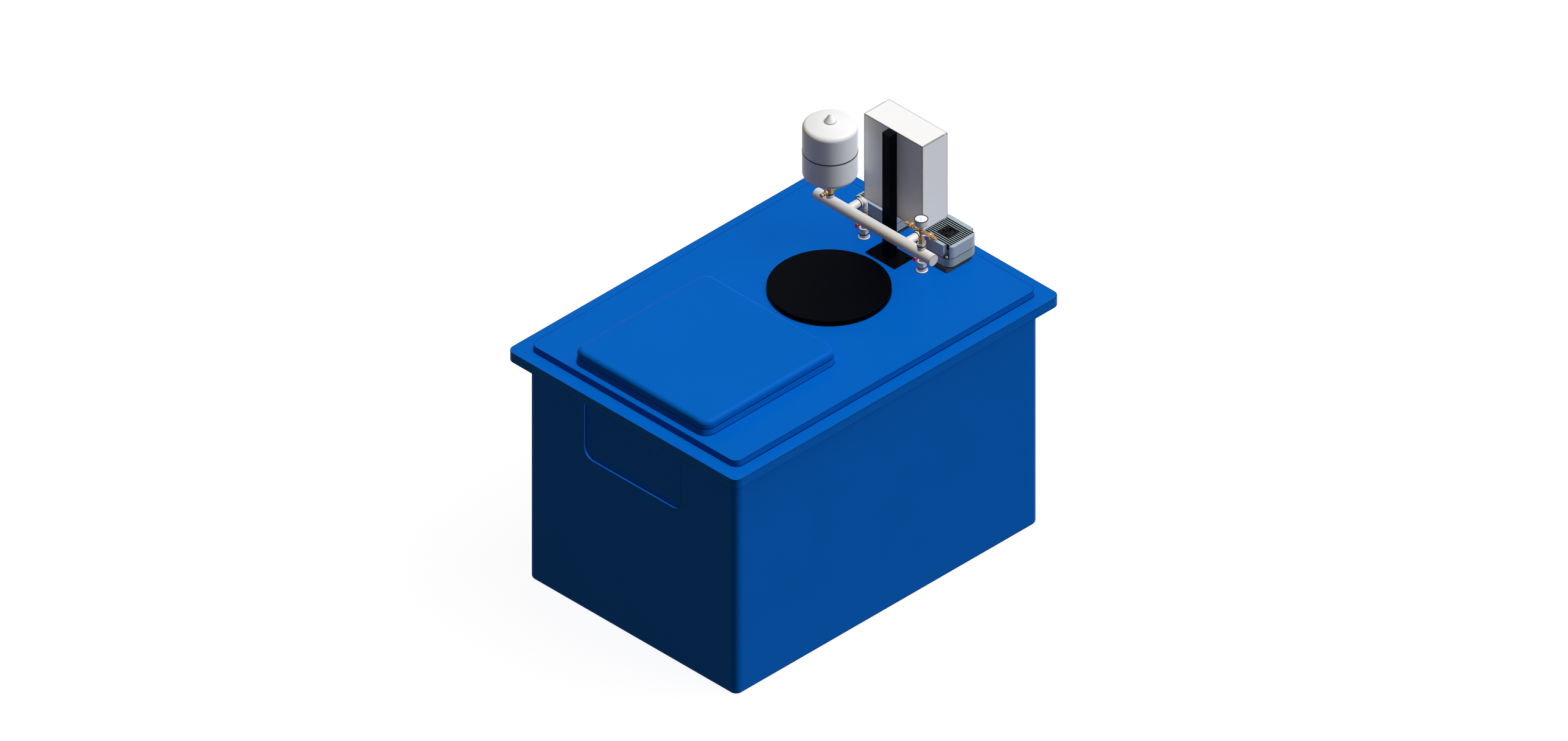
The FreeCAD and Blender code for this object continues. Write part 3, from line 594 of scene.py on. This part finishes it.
class BOOSTER_OT_finishes(bpy.types.Operator):
    """Give every moulding, casting and fitting its finish"""
    bl_idname = "booster.finishes"
    bl_label = "Finishes"

    def execute(self, context):
        made = set_finishes(context.scene.set_colours)
        fitting_finishes(context.scene.set_colours)
        for row in frame["record"]["subparts"]:
            mesh = frame["nodes"][row["node"]].data
            mesh.materials.clear()
            mesh.materials.append(made[row["material_slot"]])
        for number in DRIVES:
            mesh = frame["nodes"]["drive_%d_heatsink" % number].data
            mesh.materials[0] = bpy.data.materials["fin_paint"]
        door = frame["nodes"]["panel_door"].data
        door.materials[0] = bpy.data.materials["powder_coat_door"]
        return {"FINISHED"}


class BOOSTER_OT_rings(bpy.types.Operator):
    """Make the rubber rings of the unions, elbows, vessel valve and gauge socket"""
    bl_idname = "booster.rings"
    bl_label = "Rubber rings"

    def execute(self, context):
        section = context.scene.set_seals.ring_section
        header_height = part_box("manifold")[0][2] + HEADER_RADIUS
        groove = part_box("riser_flanges")[1][2] + UNION_GROOVE
        for number in RISERS:
            union = middle("riser_%d_union" % number)
            rubber_ring("union_ring_%d" % number, (union.x, union.y, groove), UNION_RING,
                        section)
            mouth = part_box("riser_%d_elbow" % number)[0][0]
            for side, reach in ELBOW_GROOVES:
                spot = (mouth + reach, union.y, header_height)
                rubber_ring("elbow_%s_ring_%d" % (side, number), spot, ELBOW_RING, section,
                            axis="X", squash=ELBOW_SQUASH)
            foot = (union.x, union.y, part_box("riser_%d_check_valve" % number)[1][2])
            rubber_ring("elbow_foot_ring_%d" % number, foot, FOOT_RING, section)
        vessel = middle("vessel_lower_shell")
        valve_low, valve_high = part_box("vessel_valve")
        foot = (vessel.x, vessel.y, valve_low[2] + VALVE_FOOT_GROOVE)
        rubber_ring("vessel_valve_ring", foot, VALVE_RING, section)
        socket = middle("gauge_socket")
        joint = (socket.x, socket.y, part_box("gauge_socket")[0][2])
        rubber_ring("gauge_socket_ring", joint, SOCKET_RING, section)
        neck = (vessel.x, vessel.y, valve_high[2] - VALVE_NECK_GROOVE)
        rubber_ring("vessel_neck_ring", neck, NECK_RING, section)
        return {"FINISHED"}


class BOOSTER_OT_gaskets(bpy.types.Operator):
    """Make the flat seals of the hatch and the drives"""
    bl_idname = "booster.gaskets"
    bl_label = "Flat seals"

    def execute(self, context):
        sizes = context.scene.set_seals
        half = sizes.gasket_height / 2
        deep, shallow = FOOT_SEAL
        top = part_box("hatch_plinth")[1][2]
        bands = [("hatch_gasket", "hatch_plinth", top - half, top + ABOVE_ALL)]
        for number in DRIVES:
            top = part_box("drive_%d_housing" % number)[1][2]
            bands.append(("split_gasket_%d" % number, "drive_%d_housing" % number,
                          top - half, top + ABOVE_ALL))
            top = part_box("drive_%d_foot" % number)[1][2]
            bands.append(("foot_seal_%d" % number, "drive_%d_foot" % number,
                          top - deep, top - shallow))
        for name, node, low, high in bands:
            give(belt(name, node, low, high, sizes.gasket_proud), "nitrile_black")
        return {"FINISHED"}


class BOOSTER_OT_guards(bpy.types.Operator):
    """Make the wire guards over the two fans"""
    bl_idname = "booster.guards"
    bl_label = "Fan guards"

    def execute(self, context):
        sizes = context.scene.set_fasteners
        wire = sizes.guard_wire
        spot = middle("drive_1_fan_frame")
        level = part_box("drive_1_fan_frame")[1][2] + wire / 2
        parts = []
        for step, share in enumerate(GUARD_RINGS):
            parts.append(ring("guard_ring_%d" % step, (spot.x, spot.y, level),
                              sizes.guard_size / 2 * share, wire))
        for turn in GUARD_TURNS:
            start_clean()
            bpy.ops.mesh.primitive_cylinder_add(
                vertices=10, radius=wire / 2, depth=sizes.guard_size * SPOKE_LENGTH,
                location=(spot.x, spot.y, level - wire / 4),
                rotation=(math.pi / 2, 0, math.radians(turn)))
            bpy.ops.object.mode_set(mode="EDIT")
            bpy.ops.mesh.select_all(action="SELECT")
            bpy.ops.mesh.bevel(offset=wire / 6, segments=2)
            bpy.ops.object.mode_set(mode="OBJECT")
            parts.append(settle("guard_spoke_%d" % turn))
        first = give(joined(parts, "fan_guard_1"), "guard_wire_black")
        shift = middle("drive_2_fan_frame") - spot
        give(copied(first, "fan_guard_2", shift), "guard_wire_black")
        return {"FINISHED"}


class BOOSTER_OT_fasteners(bpy.types.Operator):
    """Make the base plate bolts and the drive screws"""
    bl_idname = "booster.fasteners"
    bl_label = "Bolts and screws"

    def execute(self, context):
        sizes = context.scene.set_fasteners
        low, high = (Vector(corner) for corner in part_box("post_base_plate"))
        left, right = low.x + PLATE_INSET, high.x - PLATE_INSET
        front, back = low.y + PLATE_INSET, high.y - PLATE_INSET
        start = Vector((left, front, high.z))
        washer = turned_knob("plate_washer", start, WASHER_RADIUS, WASHER_HEIGHT,
                             WASHER_EDGE)
        head = turned_knob("plate_bolt_head", start + Vector((0, 0, BOLT_SEAT)),
                           sizes.plate_bolt / math.sqrt(3), BOLT_HEIGHT, BOLT_EDGE, sides=6)
        first = give(joined([washer, head], "plate_bolt_1"), "powder_coat_black")
        others = [(right, front), (left, back), (right, back)]
        for number, (x, y) in enumerate(others, start=2):
            shift = Vector((x, y, high.z)) - start
            give(copied(first, "plate_bolt_%d" % number, shift), "powder_coat_black")

        low, high = (Vector(corner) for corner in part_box("drive_1_housing"))
        shift = middle("drive_2_housing") - middle("drive_1_housing")
        spots = [(low.x + LEFT_SCREW[0], low.y + LEFT_SCREW[1]),
                 (high.x - RIGHT_SCREW[0], low.y + RIGHT_SCREW[1])]
        for number, (x, y) in enumerate(spots, start=1):
            screw = socket_screw("drive_screw_1_%d" % number, (x, y, high.z),
                                 sizes.drive_screw)
            give(screw, "zinc_bright")
            give(copied(screw, "drive_screw_2_%d" % number, shift), "zinc_bright")
        return {"FINISHED"}


class BOOSTER_OT_gauge(bpy.types.Operator):
    """Make the pressure gauge's bezel, scale and pointer"""
    bl_idname = "booster.gauge"
    bl_label = "Gauge face"

    def execute(self, context):
        sizes = context.scene.set_seals
        dial = middle("gauge_dial")
        spot = (dial.x, dial.y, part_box("gauge_dial")[1][2])
        case_low, case_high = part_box("gauge_case")
        radius = (case_high[0] - case_low[0]) / 2
        give(ring("gauge_bezel", (dial.x, dial.y, case_high[2] - BEZEL_DROP),
                  radius - sizes.bezel_section / 2 + BEZEL_LAP, sizes.bezel_section),
             "bezel_black")

        marks = self.bar(MARK_SIZE, MARK_RADIUS, MARK_LIFT)
        bpy.ops.object.mode_set(mode="EDIT")
        bpy.ops.mesh.select_all(action="SELECT")
        bpy.ops.mesh.spin(dupli=True, steps=MARK_STEPS, angle=math.radians(SCALE_SWEEP),
                          center=(0, 0, 0), axis=(0, 0, 1))
        bpy.ops.object.mode_set(mode="OBJECT")
        marks.rotation_euler = (0, 0, math.radians(SCALE_START))
        marks.location = spot
        give(settle("gauge_scale"), "dial_ink_grey")

        pointer = self.bar(POINTER_SIZE, POINTER_OFFSET, POINTER_LIFT)
        pick(pointer, lambda centre, normal: normal.y > LOOKS_ALONG)
        bpy.ops.object.mode_set(mode="EDIT")
        bpy.ops.mesh.extrude_region_move(
            TRANSFORM_OT_translate={"value": (0, POINTER_TIP, 0)})
        bpy.ops.transform.resize(value=(POINTER_TAPER, 1, 1))
        bpy.ops.object.mode_set(mode="OBJECT")
        pointer.rotation_euler = (0, 0, math.radians(POINTER_TURN))
        pointer.location = spot
        arm = settle("gauge_arm")
        hub = turned_knob("gauge_hub", spot, HUB_RADIUS, HUB_HEIGHT, HUB_EDGE)
        give(joined([arm, hub], "gauge_pointer"), "dial_ink_grey")
        return {"FINISHED"}

    def bar(self, size, reach, lift):
        """Flat bar of a size, moved out by reach along Y and up by lift."""
        start_clean()
        bpy.ops.mesh.primitive_cube_add(size=1.0)
        bpy.ops.object.mode_set(mode="EDIT")
        bpy.ops.mesh.select_all(action="SELECT")
        bpy.ops.transform.resize(value=size)
        bpy.ops.transform.translate(value=(0, reach, lift))
        bpy.ops.object.mode_set(mode="OBJECT")
        return bpy.context.object


class BOOSTER_OT_drain_key(bpy.types.Operator):
    """Make the drain cock's stem and the square that its key turns"""
    bl_idname = "booster.drain_key"
    bl_label = "Drain key"

    def execute(self, context):
        low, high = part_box("vessel_drain_cock")
        spot = (low[0] + KEY_OFFSET, (low[1] + high[1]) / 2, high[2] - KEY_DEPTH)
        stem = turned_knob("drain_stem", spot, STEM_RADIUS, KEY_HEIGHT, KEY_EDGE)
        end = (spot[0], spot[1], spot[2] + SQUARE_LIFT)
        square = turned_knob("drain_square", end, SQUARE_RADIUS, KEY_HEIGHT, KEY_EDGE,
                             sides=4)
        give(joined([stem, square], "drain_key"), "brass_satin")
        return {"FINISHED"}


class BOOSTER_OT_stage(bpy.types.Operator):
    """Make the floor, the lamps, the sky and the camera"""
    bl_idname = "booster.stage"
    bl_label = "Stage"

    def execute(self, context):
        start_clean()
        bpy.ops.mesh.primitive_plane_add(size=FLOOR_SIZE)
        floor = settle("floor")
        material, tree, out = new_material("floor_white")
        seen = self.seen_directly(tree)
        pale = add_node(tree, "ShaderNodeBsdfDiffuse", Color=FLOOR_PALE)
        glow = add_node(tree, "ShaderNodeEmission", Color=WHITE, Strength=FLOOR_GLOW)
        lit = add_node(tree, "ShaderNodeAddShader", [(0, pale.outputs[0]), (1, glow.outputs[0])])
        dim = add_node(tree, "ShaderNodeBsdfDiffuse", Color=FLOOR_BOUNCE)
        both = add_node(tree, "ShaderNodeMixShader",
                        [(0, seen), (1, dim.outputs[0]), (2, lit.outputs[0])])
        tree.links.new(both.outputs[0], out.inputs["Surface"])
        floor.data.materials.append(material)

        # One bright direction from the front right: most of it is a broad ceiling without
        # hard shadows, and a little of it casts soft ones.
        front = Vector(LAMP_FROM)
        for name, strength, spread, shadow in LAMPS:
            start_clean()
            bpy.ops.object.light_add(type="SUN", location=front * LAMP_DISTANCE)
            lamp = bpy.context.object
            lamp.name = name
            lamp.data.energy = strength
            lamp.data.color = LAMP_COLOUR
            lamp.data.angle = math.radians(spread)
            lamp.data.use_shadow = shadow
            lamp.rotation_mode = "QUATERNION"
            lamp.rotation_quaternion = (-front).to_track_quat("-Z", "Y")

        world = bpy.data.worlds.new("studio")
        context.scene.world = world
        world.use_nodes = True
        tree = world.node_tree
        tree.nodes.clear()
        seen = self.seen_directly(tree)
        soft = add_node(tree, "ShaderNodeBackground", Color=SKY_COLOUR)
        white = add_node(tree, "ShaderNodeBackground", Color=WHITE)
        both = add_node(tree, "ShaderNodeMixShader",
                        [(0, seen), (1, soft.outputs[0]), (2, white.outputs[0])])
        end = add_node(tree, "ShaderNodeOutputWorld")
        tree.links.new(both.outputs[0], end.inputs["Surface"])

        # Isometric view from -X -Y and above.
        start_clean()
        bpy.ops.object.camera_add()
        camera = bpy.context.object
        camera.name = "camera"
        camera.data.type = "ORTHO"
        camera.data.ortho_scale = VIEW_WIDTH
        camera.data.clip_end = VIEW_DEPTH
        back = Vector((-1, -1, 1)).normalized()
        camera.location = Vector(VIEW_AIM) + back * VIEW_DISTANCE
        camera.rotation_mode = "QUATERNION"
        camera.rotation_quaternion = (-back).to_track_quat("-Z", "Y")
        context.scene.camera = camera
        context.scene.view_settings.view_transform = "Standard"
        return {"FINISHED"}

    def seen_directly(self, tree):
        """1 for what the camera, a mirror or a pane shows, 0 for what only gives light."""
        path = add_node(tree, "ShaderNodeLightPath")
        gloss = add_node(tree, "ShaderNodeMath", [(0, path.outputs["Is Camera Ray"]),
                                                  (1, path.outputs["Is Glossy Ray"])],
                         operation="MAXIMUM")
        glass = add_node(tree, "ShaderNodeMath", [(0, gloss.outputs[0]),
                                                  (1, path.outputs["Is Transmission Ray"])],
                         operation="MAXIMUM")
        return glass.outputs[0]


class BOOSTER_PT_panel(bpy.types.Panel):
    bl_label = "Booster set"
    bl_idname = "BOOSTER_PT_panel"
    bl_space_type = "VIEW_3D"
    bl_region_type = "UI"
    bl_category = "Booster set"

    def draw(self, context):
        column = self.layout.column()
        for group, kind in GROUPS:
            values = getattr(context.scene, group)
            for name in kind.__annotations__:
                column.prop(values, name)
        for step in STEPS:
            column.operator(step.bl_idname)


GROUPS = (("set_seals", SealSizes), ("set_fasteners", FastenerSizes),
          ("set_colours", FinishColours))
STEPS = (BOOSTER_OT_finishes, BOOSTER_OT_rings, BOOSTER_OT_gaskets, BOOSTER_OT_guards,
         BOOSTER_OT_fasteners, BOOSTER_OT_gauge, BOOSTER_OT_drain_key, BOOSTER_OT_stage)
CLASSES = tuple(kind for group, kind in GROUPS) + STEPS + (BOOSTER_PT_panel,)


def register():
    for item in CLASSES:
        bpy.utils.register_class(item)
    for name, group in GROUPS:
        setattr(bpy.types.Scene, name, bpy.props.PointerProperty(type=group))


def unregister():
    for name, group in GROUPS:
        delattr(bpy.types.Scene, name)
    for item in reversed(CLASSES):
        bpy.utils.unregister_class(item)


def main():
    register()
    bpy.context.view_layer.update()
    bpy.ops.booster.finishes()
    bpy.ops.booster.rings()
    bpy.ops.booster.gaskets()
    bpy.ops.booster.guards()
    bpy.ops.booster.fasteners()
    bpy.ops.booster.gauge()
    bpy.ops.booster.drain_key()
    bpy.ops.booster.stage()


if __name__ == "__main__":
    main()
